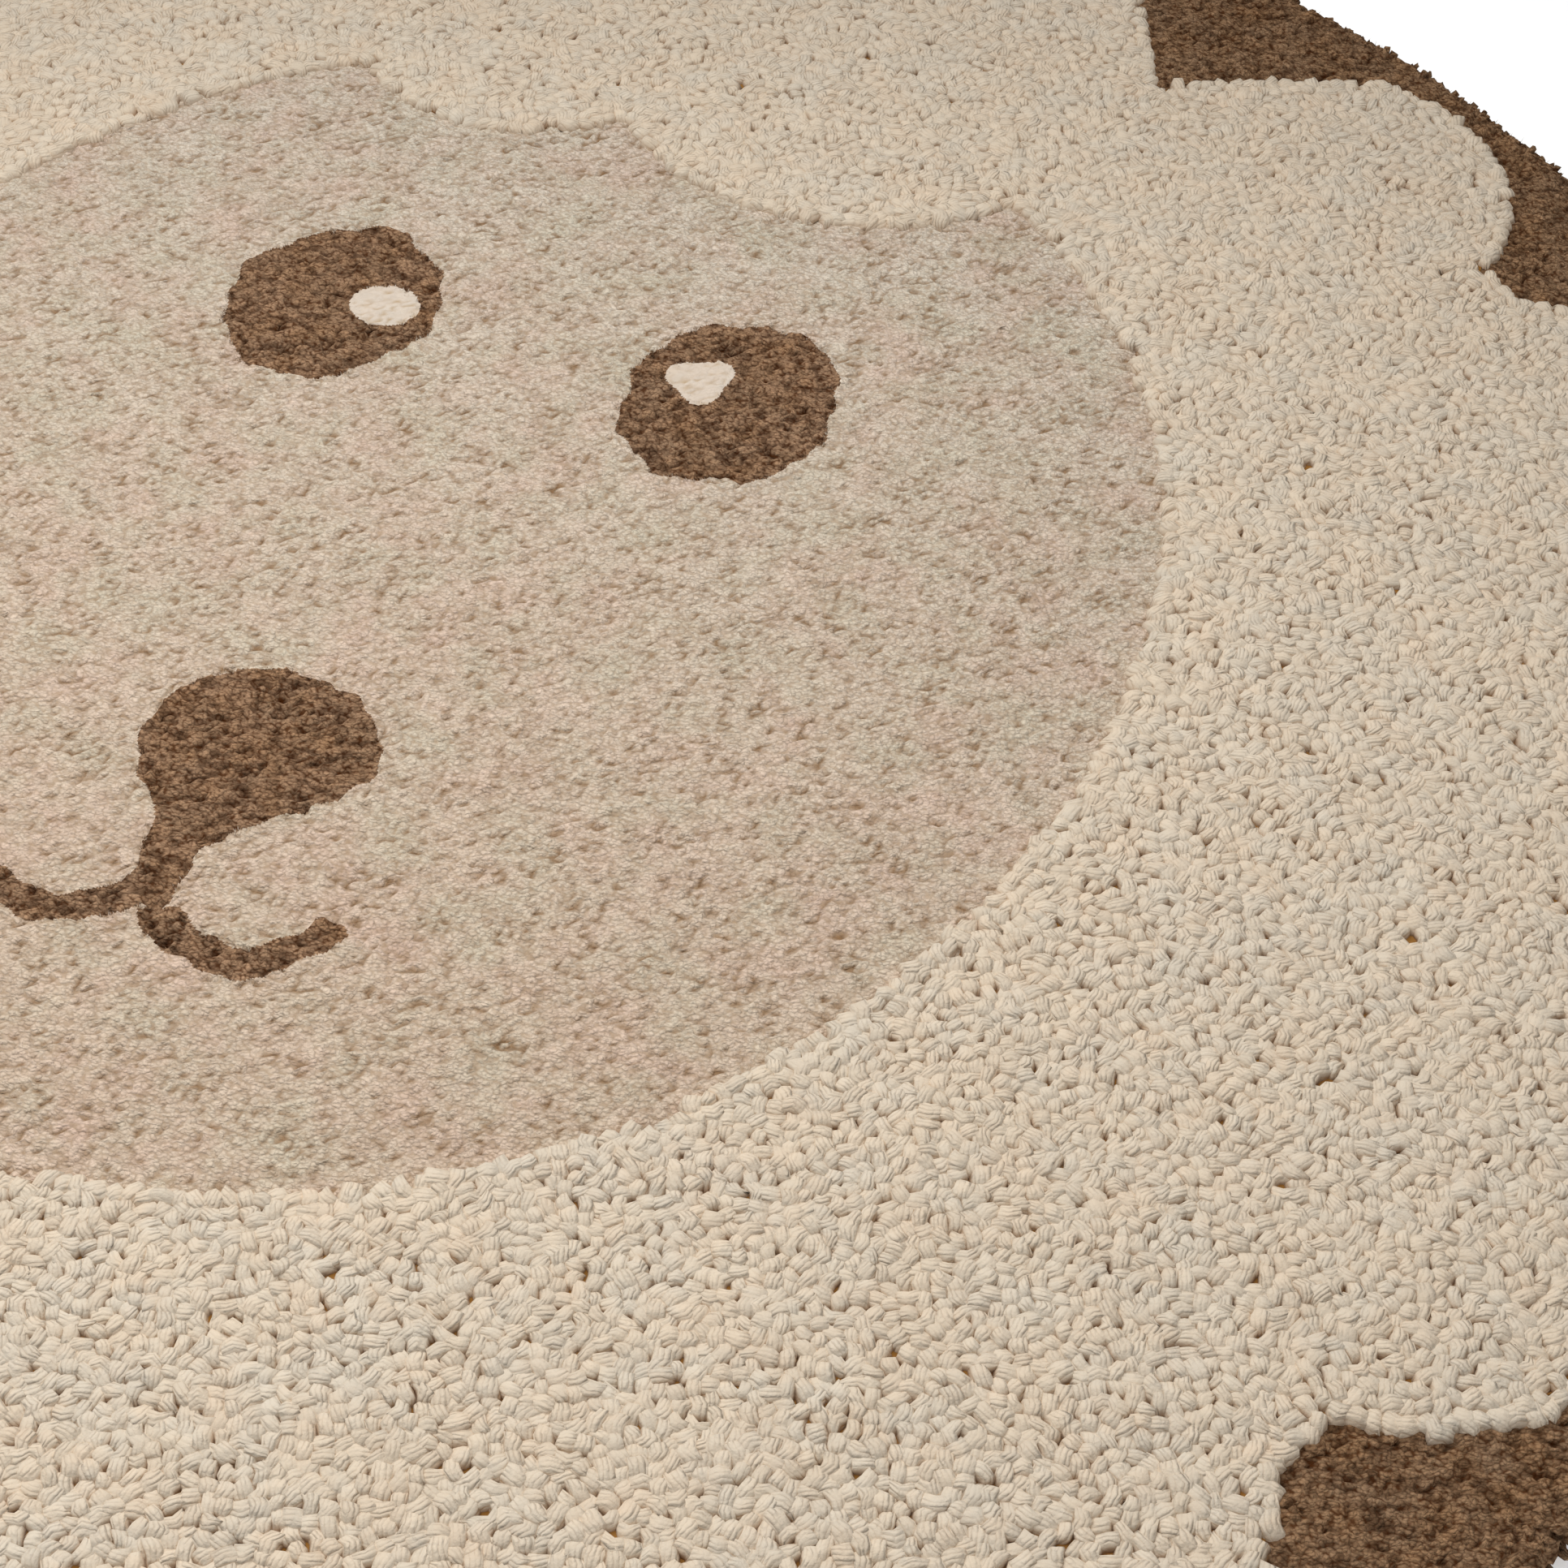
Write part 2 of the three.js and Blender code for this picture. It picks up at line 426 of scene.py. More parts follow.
def unit(axes):
    return axes / np.linalg.norm(axes, axis=1, keepdims=True)


# The loops

# A loop's size, how deep its surface turns down, and where that is divided, as shares of its half sizes
LOOP_LENGTH = 8.6 * MM
LOOP_WIDTH = 7.3 * MM
LOOP_DEPTH = 4.6 * MM
LOOP_ALONG = (-1.0, -0.64, 0.0, 0.64, 1.0)
LOOP_ACROSS = (-1.0, -0.64, 0.0, 0.64, 1.0)
LOOP_VERTICES = len(LOOP_ALONG) * len(LOOP_ACROSS)
# How square a loop's round top is, how far it falls at the edge, and how it narrows towards its ends
LOOP_SQUARENESS = 4.2
LOOP_EDGE_FALL = 0.95
LOOP_NARROWING = 0.2
# How loops differ: in size, in the height of their crests, in tilt, bend and curl
LOOP_SIZE_RANGE = (0.78, 1.22)
CREST_MARGIN = 0.3 * MM
CREST_SPREAD = 0.8 * MM
LOOP_TILT = 0.08
LOOP_BEND = 0.36
BEND_BALANCE = 0.4
LOOP_CURL = 0.26
# How uneven a loop is along, across and up
UNEVEN_ALONG = 0.25 * MM
UNEVEN_ACROSS = 0.2 * MM
UNEVEN_UP = 0.1 * MM
# Which way loops lie: in rows that drift, some of them crossed, and loosely along an edge
ROW_HEADING = math.radians(100)
ROW_DRIFT = math.radians(35)
ROW_DRIFT_LENGTH = 45 * MM
ROW_DRIFT_PHASE = 0.7
CROSSED_SHARE = 0.3
HEADING_SPREAD = math.radians(28)
EDGE_HEADING_SPREAD = math.radians(55)
EDGE_LOOP_REACH = 0.8 * LOOP_PITCH
# Strands side by side in a loop: how wide, how much of the turned-down sides they take in, how they slant
STRAND_PITCH = 1.75 * MM
STRAND_SIDE_SHARE = 0.3
STRAND_SLANT = 0.5
# How far a loop's surface has dropped where its painted shade begins and where it is fully shaded, and the
# least painted light on loops along an edge
LOOP_LIT_DROP = 0.1
LOOP_DARK_DROP = 0.5
EDGE_LOOP_LIGHT = 0.5


def rounded_drop(share):
    """How far a loop's surface has dropped at a share of its half size, as a share of its depth."""
    return 1 - (1 - LOOP_EDGE_FALL * np.abs(share) ** LOOP_SQUARENESS) ** 0.5


def loop_faces():
    width = len(LOOP_ACROSS)
    faces = []
    for station in range(len(LOOP_ALONG) - 1):
        for place in range(width - 1):
            low = station * width + place
            high = low + width
            faces.append((low, high, high + 1, low + 1))
    return np.array(faces)


def loop_arrays(places, edge_gap, edge_heading, rng):
    """One plump loop at each place: vertices, faces and the values that its yarn colour reads."""
    count = len(places)
    x, y = places[:, 0], places[:, 1]
    along = np.array(LOOP_ALONG)[None, :, None]
    across = np.array(LOOP_ACROSS)[None, None]
    shape = (count, len(LOOP_ALONG), len(LOOP_ACROSS))

    def each(values):
        return values[:, None, None]

    half_length = each(LOOP_LENGTH / 2 * rng.uniform(*LOOP_SIZE_RANGE, count))
    half_width = each(LOOP_WIDTH / 2 * rng.uniform(*LOOP_SIZE_RANGE, count))
    crest = each(LOOP_TOP - CREST_MARGIN - rng.uniform(0, CREST_SPREAD, count))
    roll = each(rng.normal(0, LOOP_TILT, count))
    pitch = each(rng.normal(0, LOOP_TILT, count))
    bend = each(rng.normal(0, LOOP_BEND, count))
    curl = each(rng.normal(0, LOOP_CURL, count))
    drift = ROW_DRIFT * slow_field(x, y, ROW_DRIFT_LENGTH, ROW_DRIFT_PHASE)
    crossed = np.where(rng.random(count) < CROSSED_SHARE, QUARTER_TURN, 0)
    in_rows = ROW_HEADING + drift + crossed + rng.normal(0, HEADING_SPREAD, count)
    along_edge = edge_heading + rng.normal(0, EDGE_HEADING_SPREAD, count)
    heading = each(np.where(edge_gap < EDGE_LOOP_REACH, along_edge, in_rows))
    # The loop in its own frame: along its strands, across them, up
    run = half_length * along + rng.normal(0, UNEVEN_ALONG, shape)
    narrowing = 1 - LOOP_NARROWING * along ** 2
    sway = bend * (along ** 2 - BEND_BALANCE) + curl * along ** 3
    side = half_width * across * narrowing + half_length * sway
    side = side + rng.normal(0, UNEVEN_ACROSS, shape)
    drop = rounded_drop(along) + rounded_drop(across)
    tilt = roll * half_width * across + pitch * run
    up = tilt - LOOP_DEPTH * drop + rng.normal(0, UNEVEN_UP, shape)
    cos, sin = np.cos(heading), np.sin(heading)
    points = np.stack([
        each(x) + run * cos - side * sin,
        each(y) + run * sin + side * cos,
        np.minimum(crest + up, LOOP_TOP),
    ], axis=-1)
    # Which strand each point lies on: the strands draw together towards the loop's ends
    over = half_width * across * (1 + STRAND_SIDE_SHARE * rounded_drop(across)) / STRAND_PITCH
    strand = over + each(rng.random(count)) + each(rng.normal(0, STRAND_SLANT, count)) * along
    # The loops along an edge are seen from the side, where light reaches further down, so their painted shade
    # is lighter
    lit = np.clip((LOOP_DARK_DROP - drop) / (LOOP_DARK_DROP - LOOP_LIT_DROP), 0, 1)
    least_painted_light = each(np.where(edge_gap < LOOP_PITCH, EDGE_LOOP_LIGHT, 0))
    values = {
        "painted_light": (least_painted_light + (1 - least_painted_light) * lit).reshape(-1),
        "strand": strand.reshape(-1),
        "tone": np.repeat(rng.random(count), LOOP_VERTICES),
    }
    return points.reshape(-1, 3), repeat_faces(loop_faces(), LOOP_VERTICES, count), values


# Tufts and loose strands

TUFT_CORNERS = 4
TUFT_FACES = np.array([
    face
    for corner in range(TUFT_CORNERS)
    for after in [(corner + 1) % TUFT_CORNERS]
    for face in (
        (corner, after, TUFT_CORNERS + after),
        (corner, TUFT_CORNERS + after, TUFT_CORNERS + corner),
        (TUFT_CORNERS + corner, TUFT_CORNERS + after, 2 * TUFT_CORNERS),
    )
])
TUFT_VERTICES = 2 * TUFT_CORNERS + 1
# A tuft's half widths, how its tip varies, and its painted light: shaded at its root, lighter at its shoulder
# and its crown
TUFT_ROOT = 2.9 * MM
TUFT_TIP = 1.5 * MM
TUFT_TIP_RANGE = (0.6, 1.25)
TUFT_CORNER_RISE = 0.5 * MM
TUFT_CROWN_RISE = 0.5 * MM
TUFT_PAINTED_LIGHT = [0.35] * TUFT_CORNERS + [0.85] * TUFT_CORNERS + [1.0]

# A loose strand: four sides that meet in a point
STRAND_FACES = np.array([(0, 1, 4), (1, 2, 4), (2, 3, 4), (3, 0, 4)])
STRAND_VERTICES = 5
STRAND_RADIUS = 0.42 * MM
# Painted light of a loose strand: shaded at its foot, lit at its point
STRAND_PAINTED_LIGHT = [0.6] * TUFT_CORNERS + [1.0]

# A direction that no tuft or strand lies along, and how unevenly the corners are turned around an axis
ASKEW = (0.31, 0.95, 0.05)
SPOKE_SPREAD = 0.25


def spokes_around(axes, rng):
    """Four directions square to each axis, at random turns."""
    side = unit(np.cross(axes, ASKEW))
    front = np.cross(axes, side)
    turn = rng.uniform(0, FULL_TURN, (len(axes), 1)) + np.arange(TUFT_CORNERS) * FULL_TURN / TUFT_CORNERS
    turn = turn + rng.normal(0, SPOKE_SPREAD, turn.shape)
    return np.cos(turn)[..., None] * side[:, None] + np.sin(turn)[..., None] * front[:, None]


def tuft_arrays(roots, axes, lengths, rng):
    """One cut tuft on each root, along its axis: vertices, faces and the values that its colour reads."""
    count = len(roots)
    spokes = spokes_around(axes, rng)
    tip_radius = TUFT_TIP * rng.uniform(*TUFT_TIP_RANGE, (count, TUFT_CORNERS, 1))
    corner_rise = rng.normal(0, TUFT_CORNER_RISE, (count, TUFT_CORNERS, 1))
    lower = roots[:, None] + TUFT_ROOT * spokes
    upper = roots[:, None] + axes[:, None] * (lengths[:, None, None] + corner_rise) + tip_radius * spokes
    crown = roots + axes * (lengths + TUFT_CROWN_RISE)[:, None]
    points = np.concatenate([lower, upper, crown[:, None]], axis=1)
    values = {
        "painted_light": np.tile(np.array(TUFT_PAINTED_LIGHT), count),
        "tone": np.repeat(rng.random(count), TUFT_VERTICES),
    }
    return points.reshape(-1, 3), repeat_faces(TUFT_FACES, TUFT_VERTICES, count), values


def strand_arrays(roots, axes, lengths, rng):
    """One loose, pointed strand on each root: vertices, faces and the values that its colour reads."""
    count = len(roots)
    lower = roots[:, None] + STRAND_RADIUS * spokes_around(axes, rng)
    point = roots + axes * lengths[:, None]
    points = np.concatenate([lower, point[:, None]], axis=1)
    values = {
        "painted_light": np.tile(np.array(STRAND_PAINTED_LIGHT), count),
        "tone": np.repeat(rng.random(count), STRAND_VERTICES),
    }
    return points.reshape(-1, 3), repeat_faces(STRAND_FACES, STRAND_VERTICES, count), values


def join_arrays(parts):
    """Several sets of vertices, faces and values as one."""
    points, faces, values = [], [], []
    offset = 0
    for part_points, part_faces, part_values in parts:
        points.append(part_points)
        faces.append(part_faces + offset)
        values.append(part_values)
        offset += len(part_points)
    joined = {key: np.concatenate([part[key] for part in values]) for key in values[0]}
    return np.concatenate(points), np.concatenate(faces), joined


# Tufts that lean out over the backing's edge: lean from upright in degrees, root height, length
RIM_ROWS = (
    (30, 4.0 * MM, 7.6 * MM),
    (54, 3.2 * MM, 12.4 * MM),
    (78, 2.6 * MM, 12.6 * MM),
)
RIM_TUFT_PITCH = 3.6 * MM
RIM_ROOT_RADIUS = BACKING_RADIUS - 0.8 * MM
# How they differ: in place as a share of the pitch, in lean, sideways, and in length
RIM_TUFT_SHIFT = 0.35
RIM_TUFT_LEAN_SPREAD = 0.12
RIM_TUFT_SIDE_SPREAD = 0.16
RIM_TUFT_LENGTH_RANGE = (0.78, 1.08)

# Loose strands that stand out of the rim
RIM_STRANDS = 6500
RIM_STRAND_LEAN_RANGE = (math.radians(10), math.radians(88))
RIM_STRAND_SPREAD = 0.4
RIM_STRAND_RADIUS = RIM_ROOT_RADIUS + 4 * MM
RIM_STRAND_HEIGHT = 5 * MM
RIM_STRAND_LENGTH_RANGE = (6 * MM, 10 * MM)

# Loose strands along the border of two yarns: share of the squares there that have one, lean, length, root
BORDER_STRAND_SHARE = 0.4
BORDER_STRAND_LEAN = 0.42
BORDER_STRAND_LENGTH_RANGE = (2.4 * MM, 3.3 * MM)
BORDER_STRAND_HEIGHT = CUT_TOP - 3 * MM


def rim_tufts(rng):
    """Roots, axes and lengths of the brown tufts that lean out over the backing's edge."""
    around = int(FULL_TURN * RUG_RADIUS / RIM_TUFT_PITCH)
    roots, axes, lengths = [], [], []
    for lean, height, length in RIM_ROWS:
        shift = rng.uniform(-RIM_TUFT_SHIFT, RIM_TUFT_SHIFT, around)
        turns = (np.arange(around) + shift) * FULL_TURN / around
        tilt = np.radians(lean) + rng.normal(0, RIM_TUFT_LEAN_SPREAD, around)
        outward = directions(turns)
        onward = np.stack([-np.sin(turns), np.cos(turns)], axis=1)
        sideways = rng.normal(0, RIM_TUFT_SIDE_SPREAD, around)[:, None] * onward
        flat = outward * np.sin(tilt)[:, None] + sideways
        axes.append(unit(np.concatenate([flat, np.cos(tilt)[:, None]], axis=1)))
        roots.append(np.concatenate([outward * RIM_ROOT_RADIUS, np.full((around, 1), height)], axis=1))
        lengths.append(length * rng.uniform(*RIM_TUFT_LENGTH_RANGE, around))
    return np.concatenate(roots), np.concatenate(axes), np.concatenate(lengths)


def rim_strands(rng):
    """Roots, axes and lengths of the loose strands that stand out of the rim."""
    turns = rng.uniform(0, FULL_TURN, RIM_STRANDS)
    tilt = rng.uniform(*RIM_STRAND_LEAN_RANGE, RIM_STRANDS)
    outward = np.concatenate([directions(turns), np.zeros((RIM_STRANDS, 1))], axis=1)
    axes = outward * np.sin(tilt)[:, None] + rng.normal(0, RIM_STRAND_SPREAD, (RIM_STRANDS, 3))
    axes[:, 2] = np.cos(tilt)
    roots = outward * RIM_STRAND_RADIUS
    roots[:, 2] = RIM_STRAND_HEIGHT
    return roots, unit(axes), rng.uniform(*RIM_STRAND_LENGTH_RANGE, RIM_STRANDS)


def border_strands(places, rng):
    """Roots, axes and lengths of strands that stand at the border of two yarns and lean either way."""
    count = len(places)
    leans = rng.normal(0, BORDER_STRAND_LEAN, (count, 2))
    axes = unit(np.concatenate([leans, np.ones((count, 1))], axis=1))
    roots = places.copy()
    roots[:, 2] = BORDER_STRAND_HEIGHT
    return roots, axes, rng.uniform(*BORDER_STRAND_LENGTH_RANGE, count)


# The surface of the cut pile

# A close surface of tufts, divided into small uneven steps
PILE_STEP = 1.85 * MM
PILE_STEP_SHIFT = 0.32
TUFT_PITCH = 3.7 * MM
# The field of tufts: how far past the rug it goes, spare tufts round it, where a tuft lies in its square
FIELD_REACH = 1.05
SPARE_TUFTS = 4
TUFT_PLACE_RANGE = (0.1, 0.9)
# Gaps between tufts: half width as a share of the pitch, how steep, least depth and how much that varies
GAP_REACH = 0.45 * TUFT_PITCH
GAP_STEEPNESS = 1.5
GAP_LEAST = 0.35
GAP_SPREAD = 0.9
# Depth of the gaps, and how much tufts differ in height, for each yarn
GAP_DEPTH = {NO_TUFT: 0, BEIGE: 1.15 * MM, BROWN: 1.9 * MM, WHITE: 0.5 * MM}
TUFT_UNEVENNESS = {NO_TUFT: 0, BEIGE: 0.75 * MM, BROWN: 1.2 * MM, WHITE: 0.3 * MM}
# The pile's own unevenness: fine grain and slow swell, below a margin under its top and above the ground
PILE_GRAIN = 0.13 * MM
PILE_SWELL = 0.35 * MM
PILE_SWELL_LENGTH = 37 * MM
PILE_SWELL_PHASE = 4.2
PILE_MIDDLE = CUT_TOP - 0.5 * MM
PILE_LOWEST = GROUND_TOP + 0.3 * MM
# How far out the surface goes at the rim, and how it rounds over there
PILE_REACH = RUG_RADIUS + 3.5 * MM
RIM_ROUND = 6 * MM
RIM_DROP = 4 * MM
# Into how many parts each step is divided along a drawn edge
BORDER_PARTS = 3
NEIGHBOURS = (-1, 0, 1)


def tuft_cells(x, y, pitch, rng):
    """For each point, how much further the next tuft is than its own, and two random values of its tuft."""
    size = int(2 * FIELD_REACH * RUG_RADIUS / pitch) + SPARE_TUFTS
    origin = -FIELD_REACH * RUG_RADIUS
    shift = rng.uniform(*TUFT_PLACE_RANGE, (size, size, 2))
    level = rng.random((size, size, 2))
    column = np.floor((x - origin) / pitch).astype(int) + 1
    row = np.floor((y - origin) / pitch).astype(int) + 1
    nearest = np.full(x.shape, np.inf)
    second = np.full(x.shape, np.inf)
    own = np.zeros(x.shape + (2,))
    for step_x in NEIGHBOURS:
        for step_y in NEIGHBOURS:
            place = (column + step_x, row + step_y)
            away_x = x - origin - (place[0] - 1 + shift[place][..., 0]) * pitch
            away_y = y - origin - (place[1] - 1 + shift[place][..., 1]) * pitch
            gap = np.hypot(away_x, away_y)
            closer = gap < nearest
            second = np.where(closer, nearest, np.minimum(second, gap))
            own = np.where(closer[..., None], level[place], own)
            nearest = np.where(closer, gap, nearest)
    return second - nearest, own[..., 0], own[..., 1]


def by_zone(zone, amounts):
    return np.array([amounts[key] for key in range(len(amounts))])[zone]


def grid_squares(corner):
    """The four corners of each square between rows and columns of points."""
    return np.stack([
        corner[..., :-1, :-1],
        corner[..., :-1, 1:],
        corner[..., 1:, 1:],
        corner[..., 1:, :-1],
    ], axis=-1)


def pile_surface(rng):
    """The cut pile as one grid: its points, the value of each point, its squares and their zones."""
    count = int(PILE_REACH / PILE_STEP) + 1
    steps = np.arange(-count, count + 1) * PILE_STEP
    x, y = np.meshgrid(steps, steps)
    x = x + rng.uniform(-PILE_STEP_SHIFT, PILE_STEP_SHIFT, x.shape) * PILE_STEP
    y = y + rng.uniform(-PILE_STEP_SHIFT, PILE_STEP_SHIFT, y.shape) * PILE_STEP
    zone = cut_pile_zone(x, y)
    border, level, deepness = tuft_cells(x, y, TUFT_PITCH, rng)
    open_share = np.clip(1 - border / GAP_REACH, 0, 1) ** GAP_STEEPNESS
    depth_share = GAP_LEAST + GAP_SPREAD * deepness
    gap = by_zone(zone, GAP_DEPTH) * open_share * depth_share
    uneven = by_zone(zone, TUFT_UNEVENNESS) * (level - 0.5)
    grain = rng.normal(0, PILE_GRAIN, x.shape)
    swell = PILE_SWELL * slow_field(x, y, PILE_SWELL_LENGTH, PILE_SWELL_PHASE)
    over_rim = np.clip((np.hypot(x, y) - PILE_REACH + RIM_ROUND) / RIM_ROUND, 0, 1)
    fall = RIM_DROP * (1 - np.sqrt(1 - over_rim ** 2))
    under = np.where(in_mane(x, y), UNDER_LOOPS_DROP, 0)
    z = np.maximum(PILE_MIDDLE - gap + uneven + grain + swell, PILE_LOWEST) - fall - under
    points = np.stack([x, y, z], axis=-1).reshape(-1, 3)
    # Painted shade: the painted light value falls where the gaps between tufts open deep
    values = {
        "painted_light": np.clip(1 - open_share * depth_share, 0, 1).ravel(),
        "tone": level.ravel(),
    }
    squares = grid_squares(np.arange(len(points)).reshape(x.shape))
    middle_x = (x[:-1, :-1] + x[1:, 1:]) / 2
    middle_y = (y[:-1, :-1] + y[1:, 1:]) / 2
    square_zone = cut_pile_zone(middle_x, middle_y)
    square_zone[np.hypot(middle_x, middle_y) > PILE_REACH] = NO_TUFT
    return points, values, squares, square_zone


def surface_arrays(points, values, squares):
    """The chosen squares of the pile surface as triangles."""
    triangles = np.concatenate([squares[:, [0, 1, 2]], squares[:, [0, 2, 3]]])
    used, faces = np.unique(triangles, return_inverse=True)
    return points[used], faces.reshape(-1, 3), {key: column[used] for key, column in values.items()}


def border_surface(points, values, squares):
    """The squares along a drawn edge, divided more finely so that the edge is not stepped."""
    share = np.linspace(0, 1, BORDER_PARTS + 1)
    across, up = np.meshgrid(share, share)
    weights = np.stack([(1 - across) * (1 - up), across * (1 - up), across * up, (1 - across) * up])
    fine_points = np.einsum("nck,cij->nijk", points[squares], weights)
    fine_values = {}
    for key, column in values.items():
        fine_values[key] = np.einsum("nc,cij->nij", column[squares], weights).ravel()
    corner = np.arange(fine_points[..., 0].size).reshape(fine_points.shape[:3])
    fine_squares = grid_squares(corner).reshape(-1, 4)
    flat_points = fine_points.reshape(-1, 3)
    middle = flat_points[fine_squares].mean(axis=1)
    return flat_points, fine_values, fine_squares, cut_pile_zone(middle[:, 0], middle[:, 1])


def border_squares(zone):
    """Squares of the pile surface that have another yarn beside them."""
    border = np.zeros(zone.shape, dtype=bool)
    for axis in (0, 1):
        for step in (-1, 1):
            other = np.roll(zone, step, axis)
            border |= (other != zone) & (other != NO_TUFT) & (zone != NO_TUFT)
    return border


# Helpers for finishes

COLOUR_SOCKET = "NodeSocketColor"
VALUE_SOCKET = "NodeSocketFloat"
MIX_FACTOR, MIX_FIRST, MIX_SECOND, MIX_RESULT = 0, 6, 7, 2
RISING = (0.0, 1.0)
FALLING = (1.0, 0.0)


def srgb(red, green, blue):
    """A colour given in picture values from 0 to 255, as linear light."""
    def linear(value):
        share = value / 255
        return share / 12.92 if share <= 0.04045 else ((share + 0.055) / 1.055) ** 2.4
    return linear(red), linear(green), linear(blue), 1.0


def add(tree, kind, inputs=None, **settings):
    """A new node with its settings, and its inputs given as values or as sockets to link."""
    node = tree.nodes.new(kind)
    for key, value in settings.items():
        setattr(node, key, value)
    for key, value in (inputs or {}).items():
        if isinstance(value, bpy.types.NodeSocket):
            tree.links.new(value, node.inputs[key])
        else:
            node.inputs[key].default_value = value
    return node


def mix(tree, factor, first, second):
    """The colour between two colours."""
    inputs = {MIX_FACTOR: factor, MIX_FIRST: first, MIX_SECOND: second}
    return add(tree, "ShaderNodeMix", inputs, data_type="RGBA").outputs[MIX_RESULT]


def calculate(tree, operation, *values):
    return add(tree, "ShaderNodeMath", dict(enumerate(values)), operation=operation).outputs[0]


def move(tree, operation, *vectors):
    return add(tree, "ShaderNodeVectorMath", dict(enumerate(vectors)), operation=operation).outputs[0]


def remap(tree, value, from_range, to_range):
    """A value moved from one range to another, and held inside it."""
    inputs = {
        "Value": value,
        "From Min": from_range[0],
        "From Max": from_range[1],
        "To Min": to_range[0],
        "To Max": to_range[1],
    }
    return add(tree, "ShaderNodeMapRange", inputs).outputs["Result"]


def vertex_value(tree, name):
    return add(tree, "ShaderNodeAttribute", attribute_name=name).outputs["Fac"]


def place_on_rug(tree):
    return add(tree, "ShaderNodeTexCoord").outputs["Object"]


def noise(tree, place, scale, detail, roughness=0.5, output="Fac"):
    inputs = {"Vector": place, "Scale": scale, "Detail": detail, "Roughness": roughness}
    return add(tree, "ShaderNodeTexNoise", inputs).outputs[output]


def bent_place(tree, place, size, reach):
    """The place on the rug, led astray a little, so that what is drawn there isn't regular."""
    wander = noise(tree, place, 1 / size, 1.0, output="Color")
    return move(tree, "MULTIPLY_ADD", wander, (reach, reach, 0), place)


def new_group(name, inputs, outputs):
    group = bpy.data.node_groups.new(name, "ShaderNodeTree")
    for socket, kind in inputs.items():
        group.interface.new_socket(socket, in_out="INPUT", socket_type=kind)
    for socket, kind in outputs.items():
        group.interface.new_socket(socket, in_out="OUTPUT", socket_type=kind)
    return group, add(group, "NodeGroupInput").outputs


def new_material(name):
    material = bpy.data.materials.new(name)
    material.use_nodes = True
    material.node_tree.nodes.clear()
    return material, material.node_tree


def add_shader(tree, inputs):
    shader = add(tree, "ShaderNodeBsdfPrincipled", inputs)
    add(tree, "ShaderNodeOutputMaterial", {"Surface": shader.outputs["BSDF"]})


# Effects that several yarns share

# How patches of colour spread: the noise values where they begin and are full, and where the cool ones lie
PATCH_SPREAD = (0.42, 0.68)
PATCH_DETAIL = 3.0
COOL_PATCH_SHIFT = (3.7, 1.9, 0.4)
FUZZ_ROUGHNESS = 0.6
FUZZ_DETAIL = 2.0


def pile_colour_and_shade_group():
    """Yarn with painted shade towards its roots, that drifts in soft patches and differs from tuft to tuft.
    """
    inputs = {
        "Yarn": COLOUR_SOCKET,
        "Root Shade": COLOUR_SOCKET,
        "Warm": COLOUR_SOCKET,
        "Cool": COLOUR_SOCKET,
        "Patch Scale": VALUE_SOCKET,
        "Patch Share": VALUE_SOCKET,
        "Tone Range": VALUE_SOCKET,
        "Root Shade Reach": VALUE_SOCKET,
    }
    group, given = new_group("pile_colour_and_shade", inputs, {"Colour": COLOUR_SOCKET})
    place = place_on_rug(group)
    colour = given["Yarn"]
    for patch_colour, patch_place in (("Warm", place), ("Cool", move(group, "ADD", place, COOL_PATCH_SHIFT))):
        patch = noise(group, patch_place, given["Patch Scale"], PATCH_DETAIL, FUZZ_ROUGHNESS)
        spread = remap(group, patch, PATCH_SPREAD, RISING)
        share = calculate(group, "MULTIPLY", spread, given["Patch Share"])
        colour = mix(group, share, colour, given[patch_colour])
    centred = remap(group, vertex_value(group, "tone"), RISING, (-1.0, 1.0))
    tone = calculate(group, "MULTIPLY_ADD", centred, given["Tone Range"], 1.0)
    toned = add(group, "ShaderNodeVectorMath", {0: colour, "Scale": tone}, operation="SCALE").outputs[0]
    # Painted shade: the colour turns to the root shade where the painted light value is low
    light = remap(group, vertex_value(group, "painted_light"), (0.0, given["Root Shade Reach"]), RISING)
    add(group, "NodeGroupOutput", {"Colour": mix(group, light, given["Root Shade"], toned)})
    return group


# Cut strand ends: how they wander and are drawn out, where their domes and the painted shade in their gaps
# lie, how fine the fuzz is
END_WANDER_SIZE = 2.2 * MM
END_WANDER = 1.6 * MM
END_DRAWN_OUT = (0.78, 1.18, 0.8)
END_DOME = (0.1, 0.75)
END_GAP_SHADE = (0.45, 0.85)
END_FUZZ_FINENESS = 3.4


def strand_ends_group():
    """Cut ends of the strands: domes, a mask for painted shade in the thin gaps between them, and the fuzz of
    their fibres.
    """
    inputs = {"Fineness": VALUE_SOCKET, "Fuzz": VALUE_SOCKET}
    group, given = new_group("strand_ends", inputs, {"Height": VALUE_SOCKET, "Gap Shade": VALUE_SOCKET})
    bent = bent_place(group, place_on_rug(group), END_WANDER_SIZE, END_WANDER)
    wide = move(group, "MULTIPLY", bent, END_DRAWN_OUT)
    cells = {"Vector": wide, "Scale": given["Fineness"]}
    distance = add(group, "ShaderNodeTexVoronoi", cells, feature="F1").outputs["Distance"]
    dome = remap(group, distance, END_DOME, FALLING)
    gap = remap(group, distance, END_GAP_SHADE, RISING)
    fine = calculate(group, "MULTIPLY", given["Fineness"], END_FUZZ_FINENESS)
    fuzz = noise(group, wide, fine, FUZZ_DETAIL, FUZZ_ROUGHNESS)
    height = calculate(group, "MULTIPLY_ADD", fuzz, given["Fuzz"], dome)
    add(group, "NodeGroupOutput", {"Height": height, "Gap Shade": gap})
    return group


